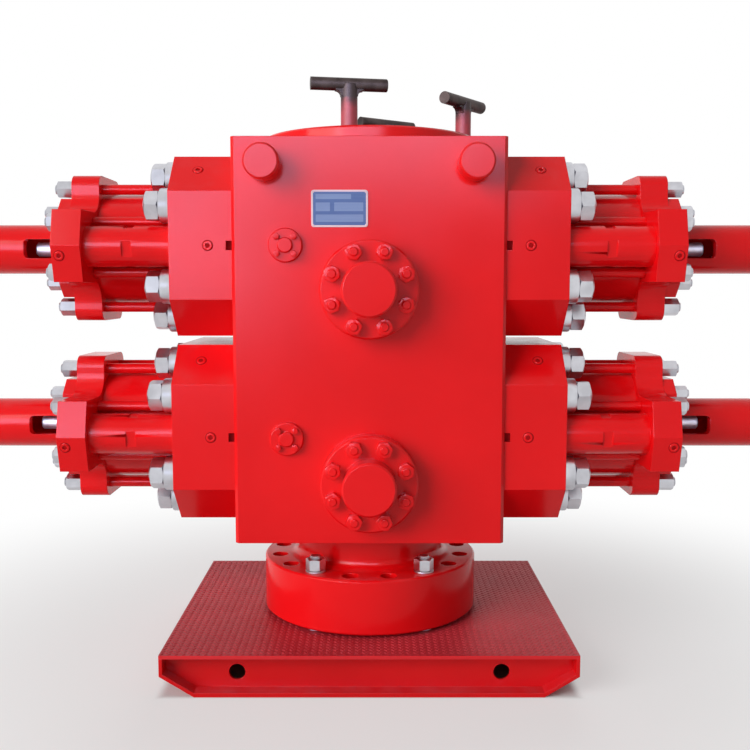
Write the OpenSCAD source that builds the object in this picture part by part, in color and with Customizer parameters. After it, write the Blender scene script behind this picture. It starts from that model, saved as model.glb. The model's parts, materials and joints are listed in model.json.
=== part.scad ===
// Double ram blowout preventer, bolted down on its shipping skid.
// X runs along the bonnets, Y from front to rear and Z up from the floor.
// The origin is on the floor, under the axis of the main bore. Sizes are in mm.

/* [Skid] */
// Length of the skid along the bonnets
skid_length = 1144; // [1080:4:1300]
// Depth of the skid from front to rear
skid_depth = 890; // [860:5:1100]
// Height of the skid from the floor to the top of the deck
skid_height = 117; // [110:1:160]
// Thickness of the deck plate
deck_thick = 10; // [8:1:14]
// Thickness of the end plates and the channels' webs
skid_plate = 10; // [8:1:14]
// Thickness of the channels' bottom lips
lip_thick = 12; // [10:1:16]
// Distance of the channels' webs behind the deck's edge
web_setback = 45; // [30:5:80]
// Length of the sloped sled ends
sled_run = 95; // [70:5:120]
// Height of the sloped sled ends
sled_rise = 58; // [46:2:70]
// Diameter of the lifting-bar holes in the webs
lift_hole_d = 45; // [36:1:50]
// Distance between the lifting-bar holes
lift_hole_span = 730; // [640:10:760]
// Distance between the two beams under the deck
beam_span = 220; // [180:10:230]

/* [Bottom flange] */
// Height of the seat ring that carries the flange above the deck
seat_ring_height = 10; // [8:1:30]
// Outer diameter of the seat ring
seat_ring_d = 420; // [400:5:460]
// Outer diameter of the bottom flange
flange_d = 655; // [645:1:670]
// Thickness of the bottom flange
flange_thick = 160; // [141:1:170]
// Bolt circle of the bottom flange and of the studded top
bolt_circle_d = 565.2; // [560:0.1:570]
// Number of bolts on the bolt circle
bolt_count = 16; // [16:16]
// Diameter of the bottom flange's bolt holes
flange_hole_d = 48; // [46:0.5:50]
// Gap between the hold-down washers and the neck, filled by the fillet at the neck's foot
neck_gap = 27; // [22:1:34]
// Height of the neck between the flange and the body
neck_height = 107; // [90:1:130]

/* [Body] */
// Diameter of the main bore
bore_d = 279.4; // [270:0.1:290]
// Width of the body between the bonnets
body_width = 754; // [740:2:780]
// Depth of the body from front to rear
body_depth = 640; // [630:2:660]
// Height of the lower ram axis above the body's underside
lower_ram_rise = 298; // [290:1:320]
// Distance between the two ram axes
ram_spacing = 533; // [520:1:560]
// Depth of the upper ram axis below the body's top
upper_ram_drop = 293; // [280:1:320]
// Width of the flats along the body's upright edges
body_edge = 9; // [4:1:12]
// Diameter of the round studded boss on top
top_boss_d = 640; // [630:1:655]
// Height of the round studded boss on top
top_boss_height = 30; // [25:1:40]
// Diameter of the tapped stud holes in the top
stud_hole_d = 41; // [38:0.5:42]
// Depth of the tapped stud holes
stud_hole_depth = 90; // [80:1:110]
// Outer diameter of the ring gasket's groove in the top
groove_d = 357; // [350:1:362]
// Width of the ring gasket's groove
groove_width = 26; // [22:1:28]
// Depth of the ring gasket's groove
groove_depth = 15; // [12:1:17]

/* [Rams] */
// Width of the ram cavities
cavity_width = 400; // [380:2:420]
// Height of the ram cavities
cavity_height = 150; // [140:1:152]
// Distance of an open ram's face from the bore's axis
ram_face = 150; // [147:1:170]
// Diameter of the pipe recess in the rams' faces
pipe_d = 127; // [100:1:140]
// Height of the rubber packers in the rams' faces
packer_height = 66; // [50:1:80]
// Depth of the rubber packers behind the rams' faces
packer_depth = 90; // [75:1:110]

/* [Outlets] */
// Depth of the side outlets below the ram axes
outlet_drop = 120; // [118:1:130]
// Diameter of the side outlets' bores
outlet_bore_d = 77.8; // [70:0.1:80]
// Outer diameter of the outlets' blind flanges
blind_d = 270; // [260:1:275]
// Thickness of the blind flanges
blind_thick = 58; // [50:1:65]
// Diameter of the blind flanges' raised hubs
hub_d = 148; // [140:1:155]
// Height of the raised hubs
hub_height = 70; // [55:1:75]
// Bolt circle of the blind flanges
blind_circle_d = 215.9; // [212:0.1:220]
// Distance across the flats of the outlet nuts
outlet_nut_flats = 41.3; // [38:0.1:44]
// Height of the outlet nuts
outlet_nut_height = 26; // [24:1:30]

/* [Bonnets] */
// Thickness of the bonnets
bonnet_thick = 175; // [160:1:190]
// Depth of the bonnets from front to rear
bonnet_depth = 612; // [604:1:616]
// Gap between the upper and lower bonnets
bonnet_gap = 26; // [20:1:40]
// Width of the sloped corners of the bonnets
bonnet_corner = 105; // [95:1:110]
// Diameter of the collars under the bonnet nuts
collar_d = 98; // [92:1:100]
// Height of the collars
collar_height = 32; // [28:1:40]
// Distance across the flats of the bonnet nuts
bonnet_nut_flats = 78; // [70:1:80]
// Height of the bonnet nuts
bonnet_nut_height = 40; // [36:1:48]
// Distance of the outer bonnet bolts from the bonnet's front
bolt_edge_y = 61; // [58:1:66]
// Distance of the inner bonnet bolts from the bonnet's top
bolt_edge_z = 57.5; // [54:0.5:62]

/* [Operating cylinders] */
// Outer diameter of the cylinder barrels
barrel_d = 330; // [320:1:336]
// Length of the cylinder barrels
barrel_length = 241; // [220:1:270]
// Wall of the cylinder barrels
barrel_wall = 35; // [25:1:45]
// Diameter of the tie rods
rod_d = 30; // [26:1:32]
// Gap between the tie rods and the barrel
rod_gap = 8; // [6:0.5:9]
// Distance across the flats of the tie rods' nuts
rod_nut_flats = 46; // [42:1:48]
// Height of the tie rods' nuts
rod_nut_height = 50; // [40:1:56]
// Thickness of the cylinder heads
head_thick = 81; // [70:1:90]
// Diameter of the bonnet-opening tubes
tube_d = 116; // [110:1:122]
// Width of the wrench flats on the bonnet-opening tubes
tube_flat_width = 28; // [20:1:40]
// Depth of the wrench flats
tube_flat_depth = 5; // [3:0.5:7]

/* [Ram locks] */
// Outer diameter of the lock housings
housing_d = 148; // [132:1:156]
// Length of the lock housings, with their flanges
housing_length = 306; // [290:1:340]
// Thickness of the lock housings' square flanges
lock_flange_thick = 34; // [28:1:40]
// Distance of the lock flanges' studs from the flanges' sides
lock_stud_edge = 42; // [38:1:48]
// Distance across the flats of the lock flanges' nuts
lock_nut_flats = 38; // [34:1:42]
// Height of the lock flanges' nuts
lock_nut_height = 40; // [30:1:44]
// Inner diameter of the lock housings
housing_bore_d = 96; // [90:1:104]
// Height of the windows in the lock housings
window_height = 57; // [50:1:62]
// Length of the windows
window_length = 105; // [90:1:115]
// Diameter of the tail rods seen in the windows
tail_rod_d = 43; // [38:1:48]
// Diameter of the lock screws
lock_screw_d = 64; // [56:1:70]
// Width of the lock screws' square drives
drive_width = 42; // [36:1:45]
// Length of the lock screws' square drives
drive_length = 80; // [60:1:100]

/* [Fittings] */
// Diameter of the corner bosses
corner_boss_d = 97; // [90:1:110]
// Height of the corner bosses
corner_boss_height = 72; // [40:1:80]
// Distance of the corner bosses from the body's sides
corner_boss_edge = 90; // [70:1:110]
// Depth of the corner bosses below the body's top
corner_boss_drop = 74; // [62:1:90]
// Diameter of the small port flanges
port_d = 94; // [88:1:98]
// Thickness of the small port flanges
port_thick = 15; // [12:1:20]
// Distance of the small ports from the body's left side
port_edge = 148; // [120:1:152]
// Width of the blank name plate
plate_width = 154; // [140:1:160]
// Height of the blank name plate
plate_height = 100; // [90:1:104]
// Diameter of the lifting tees' stems
tee_stem_d = 46; // [44:1:50]
// Diameter of the lifting tees' bars
tee_bar_d = 35; // [30:1:40]
// Length of the lifting tees' bars
tee_bar_length = 212; // [190:1:230]
// Height of the front lifting tee's bar above the top
tee_rise = 114; // [100:1:130]
// Radius of the fillets between the lifting tees' stems and bars
tee_fillet = 15; // [10:1:20]

/* [Hidden] */
$fn = 72;
eps = 0.5;
slip = 0.3;

red = [0.78, 0.06, 0.07];
deck_red = [0.62, 0.12, 0.12];
zinc = [0.8, 0.81, 0.83];
steel = [0.6, 0.61, 0.63];
dark_steel = [0.2, 0.17, 0.16];
blue = [0.12, 0.25, 0.6];
rubber = [0.08, 0.08, 0.08];

// Heights, from the floor up
deck_z = skid_height - deck_thick;
flange_z = skid_height + seat_ring_height;
flange_top_z = flange_z + flange_thick;
body_z = flange_top_z + neck_height;
body_height = lower_ram_rise + ram_spacing + upper_ram_drop;
body_top_z = body_z + body_height;
boss_top_z = body_top_z + top_boss_height;
lower_z = body_z + lower_ram_rise;
upper_z = lower_z + ram_spacing;
levels = [lower_z, upper_z];
sides = [-1, 1];

// Stations along X, from the bore's axis out
bonnet_x = body_width / 2;
barrel_x = bonnet_x + bonnet_thick;
head_x = barrel_x + barrel_length;
housing_x = head_x + head_thick;
housing_end_x = housing_x + housing_length;

// Skid
skid_x = skid_length / 2;
skid_y = skid_depth / 2;
web_y = skid_y - web_setback;
foot_land = 40;
foot_x = skid_x - sled_run - foot_land;
slope_lift = skid_plate * norm([sled_run, sled_rise]) / sled_run;
slope_z = sled_rise - skid_plate * sled_rise / sled_run + slope_lift;
slope_x = skid_x - sled_run + (lip_thick - slope_lift) * sled_run / sled_rise;
beam_thick = 14;

// Bolts that hold the preventer down on the skid
hold_bolt_d = 33;
hold_nut_flats = 50;
hold_nut_height = 34;
hold_washer_d = 66;
hold_washer_thick = 6;
hold_nut_below = 26;
hold_bolt_tip = 8;
bolt_step = 360 / bolt_count;
neck_d = bolt_circle_d - hold_washer_d - 2 * neck_gap;
neck_fillet = neck_gap - slip;
hold_angles = [for (k = [1, 6, 9, 14]) (k + 0.5) * bolt_step];

// Bonnets, cylinders and heads
bonnet_height = ram_spacing - bonnet_gap;
rod_circle_r = barrel_d / 2 + rod_gap + rod_d / 2;
rod_near = rod_circle_r * sin(22.5);
rod_far = rod_circle_r * cos(22.5);
tube_gap = 10;
tube_y = barrel_d / 2 + tube_d / 2 + tube_gap;
collar_r = collar_d / 2;
collar_tube_gap = 5;
collar_rod_gap = 9;
collar_to_rod = collar_r + rod_d / 2 + collar_rod_gap;
outer_bolt_y = bonnet_depth / 2 - bolt_edge_y;
over_tube_z = tube_d / 2 + collar_r + collar_tube_gap;
over_rod_z = rod_near + sqrt(max(0, pow(collar_to_rod, 2) - pow(outer_bolt_y - rod_far, 2)));
outer_bolt = [outer_bolt_y, max(over_tube_z, over_rod_z)];
inner_bolt = [rod_near + collar_to_rod, bonnet_height / 2 - bolt_edge_z];
bolt_tip_d = 52;
bolt_tip = 5;
lobe_margin = 40;
lobe_half_y = rod_near + lobe_margin;
lobe_half_z = rod_far + lobe_margin;
lobe_corner = 34;
nose_wall = 24;
nose_y = tube_y + tube_d / 2 + nose_wall;
nose_slope = 25;
nose_shoulder = 42;
nose_half_z = tube_d / 2 + nose_shoulder;
scallop_r = 62;
pry_width = 17;
pry_height = 25;
pry_depth = 14;

// Ram locks
lock_flange_gap = 3;
lock_flange_half = rod_far - rod_nut_flats / sqrt(3) - lock_flange_gap;
lock_flange_corner = 40;
lock_stud_d = 24;
lock_stud_tip = 7;
lock_stud = lock_flange_half - lock_stud_edge;
window_from_flange = 22;
window_start = lock_flange_thick + window_from_flange;
window_corner = 12;
rod_short_of_window = 18;
screw_past_window = 40;
tail_rod_end = window_start + window_length - rod_short_of_window;
lock_screw_start = window_start + window_length + screw_past_window;
housing_wall = 24;
rod_tip = 7;

// Lifting tees: angle of the stud hole from the front, turn of the bar, how much shorter the stem is
tees = [[-0.5 * bolt_step, 10, 0], [3.5 * bolt_step, 54, 8], [7.5 * bolt_step, 34, 18]];
tee_thread_d = stud_hole_d - 2 * slip;
tee_thread_length = 70;
tee_web = 26;
bar_edge = 2;

outlet_stud_d = 25;
outlet_stud_tip = 8;
plate_thick = 3;
plate_x = -81;
port_x = body_width / 2 - port_edge;
seat_ring_bore_d = bore_d + 20;
hold_hole_play = 3;
plate_above_ram = 99;
port_hub_d = 42;
port_hub_height = 10;
rim_edge = 5;

// Shared shapes

// Hexagon with flats facing along X of its own plane
module hexagon(flats, height) {
  rotate([0, 0, 30]) cylinder(r = flats / sqrt(3), h = height, $fn = 6);
}

// Turns a shape drawn in Y and Z, and raised along Z, to stand out along +X
module along_x() {
  rotate([90, 0, 90]) children();
}

// Puts a shape built on the right side at one of the four ram ends
module at_ram(side, z) {
  translate([0, 0, z]) mirror([side < 0 ? 1 : 0, 0, 0]) children();
}

module at_all_rams() {
  for (z = levels, side = sides) at_ram(side, z) children();
}

// Points of a bolt circle, counted from the front
module at_bolts(angles, circle_d) {
  for (a = angles) rotate([0, 0, a]) translate([0, -circle_d / 2, 0]) children();
}

// The four quarters of a ram end, in Y and Z
module at_quarters(p) {
  for (y = [-1, 1], z = [-1, 1]) translate([y * p[0], z * p[1], 0]) children();
}

// Round piece with bevelled rims, raised along Z
module bevelled_disc(d, height, bevel) {
  rotate_extrude() polygon([
    [0, 0], [d / 2, 0], [d / 2, height - bevel], [d / 2 - bevel, height], [0, height]
  ]);
}

// Stands a shape raised along Z out from the body's front or rear face
module on_face(face, x, z, lift = 0) {
  translate([x, face * (body_depth / 2 + lift), z]) rotate([-90 * face, 0, 0]) children();
}

// Skid

module skid_outline() {
  polygon([
    [skid_x - skid_plate, deck_z], [skid_x - skid_plate, slope_z], [slope_x, lip_thick],
    [foot_x, lip_thick], [foot_x, 0], [-foot_x, 0], [-foot_x, lip_thick],
    [-slope_x, lip_thick], [-skid_x + skid_plate, slope_z], [-skid_x + skid_plate, deck_z]
  ]);
}

module skid_channel() {
  difference() {
    union() {
      translate([0, -web_y + skid_plate, 0])
        rotate([90, 0, 0]) linear_extrude(skid_plate) skid_outline();
      translate([-foot_x, -skid_y, 0]) cube([2 * foot_x, web_setback + eps, lip_thick]);
    }
    for (x = sides)
      translate([x * lift_hole_span / 2, -web_y + skid_plate + eps, deck_z / 2])
        rotate([90, 0, 0]) cylinder(d = lift_hole_d, h = skid_plate + 2 * eps);
  }
}

module skid_end() {
  translate([0, skid_y, 0]) rotate([90, 0, 0]) linear_extrude(skid_depth) polygon([
    [skid_x, deck_z], [skid_x, sled_rise], [skid_x - sled_run, 0], [foot_x, 0],
    [foot_x, lip_thick], [slope_x, lip_thick], [skid_x - skid_plate, slope_z],
    [skid_x - skid_plate, deck_z]
  ]);
}

module skid_deck() {
  color(deck_red) difference() {
    translate([-skid_x, -skid_y, deck_z]) cube([skid_length, skid_depth, deck_thick]);
    translate([0, 0, deck_z - eps])
      at_bolts(hold_angles, bolt_circle_d) cylinder(d = hold_bolt_d + hold_hole_play, h = deck_thick + 2 * eps);
  }
}

module skid_front_channel() {
  color(red) skid_channel();
}

module skid_rear_channel() {
  color(red) mirror([0, 1, 0]) skid_channel();
}

module skid_left_end() {
  color(red) mirror([1, 0, 0]) skid_end();
}

module skid_right_end() {
  color(red) skid_end();
}

module skid_beams() {
  color(red) for (x = sides)
    translate([x * beam_span / 2 - beam_thick / 2, -web_y + skid_plate, 0])
      cube([beam_thick, 2 * (web_y - skid_plate), deck_z]);
}

module seat_ring() {
  color(red) translate([0, 0, skid_height]) difference() {
    cylinder(d = seat_ring_d, h = seat_ring_height);
    translate([0, 0, -eps]) cylinder(d = seat_ring_bore_d, h = seat_ring_height + 2 * eps);
  }
}

// Bolts from under the deck, through the flange, with a nut below, between and on top
module hold_down_bolts() {
  color(zinc) at_bolts(hold_angles, bolt_circle_d) {
    translate([0, 0, deck_z - hold_nut_below - hold_bolt_tip])
      cylinder(d = hold_bolt_d, h = flange_top_z + hold_washer_thick + hold_nut_height
        + 2 * hold_bolt_tip + hold_nut_below - deck_z);
    translate([0, 0, deck_z - hold_nut_below]) hexagon(hold_nut_flats, hold_nut_below);
    translate([0, 0, skid_height]) hexagon(hold_nut_flats, seat_ring_height);
    translate([0, 0, flange_top_z]) cylinder(d = hold_washer_d, h = hold_washer_thick);
    translate([0, 0, flange_top_z + hold_washer_thick]) hexagon(hold_nut_flats, hold_nut_height);
  }
}

// Pressure body

module flange_profile() {
  polygon([
    [0, 0], [flange_d / 2 - rim_edge, 0], [flange_d / 2, rim_edge],
    [flange_d / 2, flange_thick - rim_edge], [flange_d / 2 - rim_edge, flange_thick],
    [0, flange_thick]
  ]);
  square([neck_d / 2, flange_thick + neck_height]);
  translate([neck_d / 2, flange_thick]) difference() {
    translate([-eps, -eps]) square(neck_fillet + eps);
    translate([neck_fillet, neck_fillet]) circle(neck_fillet);
  }
}

module bottom_flange() {
  color(red) translate([0, 0, flange_z]) difference() {
    rotate_extrude() flange_profile();
    translate([0, 0, -eps]) cylinder(d = bore_d, h = flange_thick + neck_height + 2 * eps);
    translate([0, 0, -eps])
      at_bolts([for (k = [0 : bolt_count - 1]) (k + 0.5) * bolt_step], bolt_circle_d)
        cylinder(d = flange_hole_d, h = flange_thick + 2 * eps);
  }
}

// Flat slot with round ends, across the whole body or as a ram's outline
module ram_outline(width, height) {
  square([width - height, height], center = true);
  for (y = sides) translate([y * (width - height) / 2, 0]) circle(d = height);
}

module body_block() {
  hx = body_width / 2;
  hy = body_depth / 2;
  translate([0, 0, body_z]) linear_extrude(body_height) polygon([
    [hx - body_edge, -hy], [hx, -hy + body_edge], [hx, hy - body_edge], [hx - body_edge, hy],
    [-hx + body_edge, hy], [-hx, hy - body_edge], [-hx, -hy + body_edge], [-hx + body_edge, -hy]
  ]);
}

module ring_groove() {
  translate([0, 0, boss_top_z - groove_depth]) difference() {
    cylinder(d = groove_d, h = groove_depth + eps);
    translate([0, 0, -eps]) cylinder(d = groove_d - 2 * groove_width, h = groove_depth + 3 * eps);
  }
}

module body() {
  color(red) difference() {
    union() {
      body_block();
      translate([0, 0, body_top_z - eps]) bevelled_disc(top_boss_d, top_boss_height + eps, rim_edge);
    }
    translate([0, 0, body_z - eps])
      cylinder(d = bore_d, h = body_height + top_boss_height + 2 * eps);
    ring_groove();
    translate([0, 0, boss_top_z - stud_hole_depth])
      at_bolts([for (k = [0 : bolt_count - 1]) (k + 0.5) * bolt_step], bolt_circle_d)
        cylinder(d = stud_hole_d, h = stud_hole_depth + eps);
    for (z = levels) {
      translate([-body_width / 2 - eps, 0, z]) along_x()
        linear_extrude(body_width + 2 * eps) ram_outline(cavity_width, cavity_height);
      translate([0, body_depth / 2 + eps, z - outlet_drop]) rotate([90, 0, 0])
        cylinder(d = outlet_bore_d, h = body_depth + 2 * eps);
    }
  }
}

// Ram block of a given length behind its face, with the pipe recess
module ram_block(length) {
  difference() {
    translate([ram_face, 0, 0]) along_x() linear_extrude(length)
      ram_outline(cavity_width - 2 * slip, cavity_height - 2 * slip);
    translate([ram_face, 0, -cavity_height]) cylinder(d = pipe_d, h = 2 * cavity_height);
  }
}

// Open rams, drawn back clear of the main bore, with a slot for the packer across the face
module rams() {
  color(steel) at_all_rams() difference() {
    ram_block(bonnet_x - ram_face);
    translate([ram_face - eps, -cavity_width / 2, -packer_height / 2])
      cube([packer_depth + eps, cavity_width, packer_height]);
  }
}

// Rubber packers in the rams' faces
module ram_packers() {
  color(rubber) at_all_rams() intersection() {
    ram_block(packer_depth);
    translate([ram_face - eps, -cavity_width / 2, -packer_height / 2])
      cube([packer_depth + eps, cavity_width, packer_height]);
  }
}

module corner_bosses() {
  color(red) for (face = sides, x = sides)
    on_face(face, x * (body_width / 2 - corner_boss_edge), body_top_z - corner_boss_drop)
      bevelled_disc(corner_boss_d, corner_boss_height, rim_edge);
}

module port_flanges() {
  color(red) for (z = levels) on_face(-1, -port_x, z) {
    bevelled_disc(port_d, port_thick, 3);
    bevelled_disc(port_hub_d, port_thick + port_hub_height, 3);
  }
}

module name_plate() {
  color(blue) translate([plate_x - plate_width / 2, -body_depth / 2 - plate_thick,
    upper_z + plate_above_ram - plate_height / 2])
      cube([plate_width, plate_thick, plate_height]);
}

// Puts a shape drawn over a stud hole, with its bar along X, at each lifting tee
module at_tees() {
  for (tee = tees) {
    $rise = tee_rise - tee[2];
    at_bolts([tee[0]], bolt_circle_d) rotate([0, 0, tee[1] - tee[0]])
      translate([0, 0, boss_top_z]) children();
  }
}

module tee_bar() {
  translate([-tee_bar_length / 2, 0, $rise]) rotate([0, 90, 0])
    bevelled_disc(tee_bar_d, tee_bar_length, bar_edge);
}

// Web under the bar, with a fillet on each side of the stem
module tee_gusset() {
  half = tee_stem_d / 2 + tee_fillet;
  low = $rise - tee_bar_d / 2 - tee_fillet;
  translate([0, tee_web / 2, 0]) rotate([90, 0, 0]) linear_extrude(tee_web) difference() {
    translate([-half, low]) square([2 * half, $rise - low]);
    for (x = sides) translate([x * half, low]) circle(tee_fillet);
  }
}

// Tee bolts screwed into three of the stud holes, for slinging the preventer
module lifting_tees() {
  color(dark_steel) at_tees() difference() {
    union() {
      translate([0, 0, -tee_thread_length]) cylinder(d = tee_thread_d, h = tee_thread_length + eps);
      cylinder(d = tee_stem_d, h = $rise);
      tee_gusset();
    }
    tee_bar();
  }
}

module tee_bars() {
  color(dark_steel) at_tees() tee_bar();
}

// Blind flanges on the side outlets

module blind(face, z) {
  color(red) on_face(face, 0, z - outlet_drop) {
    bevelled_disc(blind_d, blind_thick, rim_edge);
    bevelled_disc(hub_d, blind_thick + hub_height, rim_edge);
  }
}

module upper_front_blind() {
  blind(-1, upper_z);
}

module lower_front_blind() {
  blind(-1, lower_z);
}

module upper_rear_blind() {
  blind(1, upper_z);
}

module lower_rear_blind() {
  blind(1, lower_z);
}

module outlet_nuts() {
  color(red) for (z = levels, face = sides)
    on_face(face, 0, z - outlet_drop, blind_thick)
      at_bolts([for (k = [0 : 7]) (k + 0.5) * 45], blind_circle_d) {
        hexagon(outlet_nut_flats, outlet_nut_height);
        cylinder(d = outlet_stud_d, h = outlet_nut_height + outlet_stud_tip);
      }
}

// Bonnets

module bonnet() {
  hy = bonnet_depth / 2;
  hz = bonnet_height / 2;
  c = bonnet_corner;
  difference() {
    translate([bonnet_x, 0, 0]) along_x() linear_extrude(bonnet_thick) polygon([
      [hy, -hz + c], [hy, hz - c], [hy - c, hz], [-hy + c, hz],
      [-hy, hz - c], [-hy, -hz + c], [-hy + c, -hz], [hy - c, -hz]
    ]);
    for (face = sides)
      translate([bonnet_x - eps, face * hy - pry_depth, -pry_height / 2])
        cube([pry_width + eps, 2 * pry_depth, pry_height]);
  }
}

module upper_left_bonnet() {
  color(red) at_ram(-1, upper_z) bonnet();
}

module upper_right_bonnet() {
  color(red) at_ram(1, upper_z) bonnet();
}

module lower_left_bonnet() {
  color(red) at_ram(-1, lower_z) bonnet();
}

module lower_right_bonnet() {
  color(red) at_ram(1, lower_z) bonnet();
}

module bonnet_nuts() {
  color(zinc) at_all_rams() translate([barrel_x, 0, 0]) along_x()
    for (p = [outer_bolt, inner_bolt]) at_quarters(p) {
      cylinder(d = collar_d, h = collar_height);
      translate([0, 0, collar_height]) hexagon(bonnet_nut_flats, bonnet_nut_height);
      cylinder(d = bolt_tip_d, h = collar_height + bonnet_nut_height + bolt_tip);
    }
}

// Operating cylinders

module cylinder_barrel() {
  translate([barrel_x, 0, 0]) along_x() difference() {
    cylinder(d = barrel_d, h = barrel_length);
    translate([0, 0, -eps]) cylinder(d = barrel_d - 2 * barrel_wall, h = barrel_length + 2 * eps);
  }
}

module upper_left_cylinder() {
  color(red) at_ram(-1, upper_z) cylinder_barrel();
}

module upper_right_cylinder() {
  color(red) at_ram(1, upper_z) cylinder_barrel();
}

module lower_left_cylinder() {
  color(red) at_ram(-1, lower_z) cylinder_barrel();
}

module lower_right_cylinder() {
  color(red) at_ram(1, lower_z) cylinder_barrel();
}

// Four-lobed head: a pointed nose front and rear, a lobe with round corners above and below
module head_outline() {
  difference() {
    union() {
      square([2 * lobe_half_y, 2 * (lobe_half_z - lobe_corner)], center = true);
      square([2 * (lobe_half_y - lobe_corner), 2 * lobe_half_z], center = true);
      at_quarters([lobe_half_y - lobe_corner, lobe_half_z - lobe_corner]) circle(lobe_corner);
      polygon([
        [nose_y, 0], [nose_y - nose_slope, nose_half_z], [-nose_y + nose_slope, nose_half_z],
        [-nose_y, 0], [-nose_y + nose_slope, -nose_half_z], [nose_y - nose_slope, -nose_half_z]
      ]);
      at_quarters([lobe_half_y + scallop_r / 2, nose_half_z + scallop_r / 2])
        square(scallop_r + 2 * eps, center = true);
    }
    at_quarters([lobe_half_y + scallop_r, nose_half_z + scallop_r]) circle(scallop_r);
  }
}

module cylinder_head() {
  translate([head_x, 0, 0]) along_x() linear_extrude(head_thick) head_outline();
}

module upper_left_head() {
  color(red) at_ram(-1, upper_z) cylinder_head();
}

module upper_right_head() {
  color(red) at_ram(1, upper_z) cylinder_head();
}

module lower_left_head() {
  color(red) at_ram(-1, lower_z) cylinder_head();
}

module lower_right_head() {
  color(red) at_ram(1, lower_z) cylinder_head();
}

module at_rods() {
  for (p = [[rod_near, rod_far], [rod_far, rod_near]]) at_quarters(p) children();
}

module tie_rods() {
  color(red) at_all_rams() translate([barrel_x, 0, 0]) along_x()
    at_rods() cylinder(d = rod_d, h = barrel_length);
}

module tie_nuts() {
  color(zinc) at_all_rams() translate([housing_x, 0, 0]) along_x()
    at_rods() {
      hexagon(rod_nut_flats, rod_nut_height);
      cylinder(d = rod_d, h = rod_nut_height + rod_tip);
    }
}

// Tubes that push the bonnet open, with wrench flats at mid-length
module opening_tubes() {
  color(red) at_all_rams() translate([barrel_x, 0, 0]) along_x()
    for (y = sides) translate([y * tube_y, 0, 0]) difference() {
      cylinder(d = tube_d, h = barrel_length);
      for (a = [0, 90, 180, 270]) rotate([0, 0, a])
        translate([tube_d / 2 - tube_flat_depth, -tube_d / 2, (barrel_length - tube_flat_width) / 2])
          cube([tube_d, tube_d, tube_flat_width]);
    }
}

// Ram locks

module window_outline() {
  r = window_corner;
  translate([0, r - window_height / 2]) square([window_length, window_height - 2 * r]);
  translate([r, -window_height / 2]) square([window_length - 2 * r, window_height]);
  for (x = [r, window_length - r], y = [-1, 1])
    translate([x, y * (window_height / 2 - r)]) circle(r);
}

module lock_flange_outline() {
  half = lock_flange_half;
  inner = lock_flange_half - lock_flange_corner;
  polygon([
    [half, -inner], [half, inner], [inner, half], [-inner, half],
    [-half, inner], [-half, -inner], [-inner, -half], [inner, -half]
  ]);
}

// Tube on a square flange, with a window at the front that shows the tail rod
module lock_housing() {
  translate([housing_x, 0, 0]) difference() {
    union() {
      rotate([0, 90, 0]) cylinder(d = housing_d, h = housing_length);
      along_x() linear_extrude(lock_flange_thick) lock_flange_outline();
    }
    translate([-eps, 0, 0]) rotate([0, 90, 0])
      cylinder(d = housing_bore_d, h = housing_length - housing_wall + eps);
    rotate([0, 90, 0]) cylinder(d = lock_screw_d + 2 * slip, h = housing_length + eps);
    translate([window_start, 0, 0]) rotate([90, 0, 0])
      linear_extrude(housing_d / 2 + eps) window_outline();
  }
}

module upper_left_housing() {
  color(red) at_ram(-1, upper_z) lock_housing();
}

module upper_right_housing() {
  color(red) at_ram(1, upper_z) lock_housing();
}

module lower_left_housing() {
  color(red) at_ram(-1, lower_z) lock_housing();
}

module lower_right_housing() {
  color(red) at_ram(1, lower_z) lock_housing();
}

// Studs and nuts that hold the lock flanges on the heads
module lock_nuts() {
  color(zinc) at_all_rams() translate([housing_x + lock_flange_thick, 0, 0]) along_x()
    at_quarters([lock_stud, lock_stud]) {
      hexagon(lock_nut_flats, lock_nut_height);
      cylinder(d = lock_stud_d, h = lock_nut_height + lock_stud_tip);
    }
}

module tail_rods() {
  color(steel) at_all_rams() translate([housing_x, 0, 0]) rotate([0, 90, 0])
    bevelled_disc(tail_rod_d, tail_rod_end, 4);
}

module lock_screw() {
  translate([housing_x + lock_screw_start, 0, 0]) rotate([0, 90, 0])
    cylinder(d = lock_screw_d, h = housing_length - lock_screw_start + rim_edge);
  translate([housing_end_x, -drive_width / 2, -drive_width / 2])
    cube([drive_length, drive_width, drive_width]);
}

module upper_left_lock() {
  color(steel) at_ram(-1, upper_z) lock_screw();
}

module upper_right_lock() {
  color(steel) at_ram(1, upper_z) lock_screw();
}

module lower_left_lock() {
  color(steel) at_ram(-1, lower_z) lock_screw();
}

module lower_right_lock() {
  color(steel) at_ram(1, lower_z) lock_screw();
}

skid_deck();
skid_front_channel();
skid_rear_channel();
skid_left_end();
skid_right_end();
skid_beams();
seat_ring();
hold_down_bolts();
bottom_flange();
body();
rams();
ram_packers();
corner_bosses();
port_flanges();
name_plate();
lifting_tees();
tee_bars();
upper_front_blind();
lower_front_blind();
upper_rear_blind();
lower_rear_blind();
outlet_nuts();
upper_left_bonnet();
upper_right_bonnet();
lower_left_bonnet();
lower_right_bonnet();
bonnet_nuts();
upper_left_cylinder();
upper_right_cylinder();
lower_left_cylinder();
lower_right_cylinder();
upper_left_head();
upper_right_head();
lower_left_head();
lower_right_head();
tie_rods();
tie_nuts();
opening_tubes();
upper_left_housing();
upper_right_housing();
lower_left_housing();
lower_right_housing();
lock_nuts();
tail_rods();
upper_left_lock();
upper_right_lock();
lower_left_lock();
lower_right_lock();
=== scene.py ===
# Double ram blowout preventer on its skid: finishes, fasteners and fittings, camera and studio.
import json
import math

import bmesh
import bpy
from mathutils import Matrix, Vector

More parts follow.
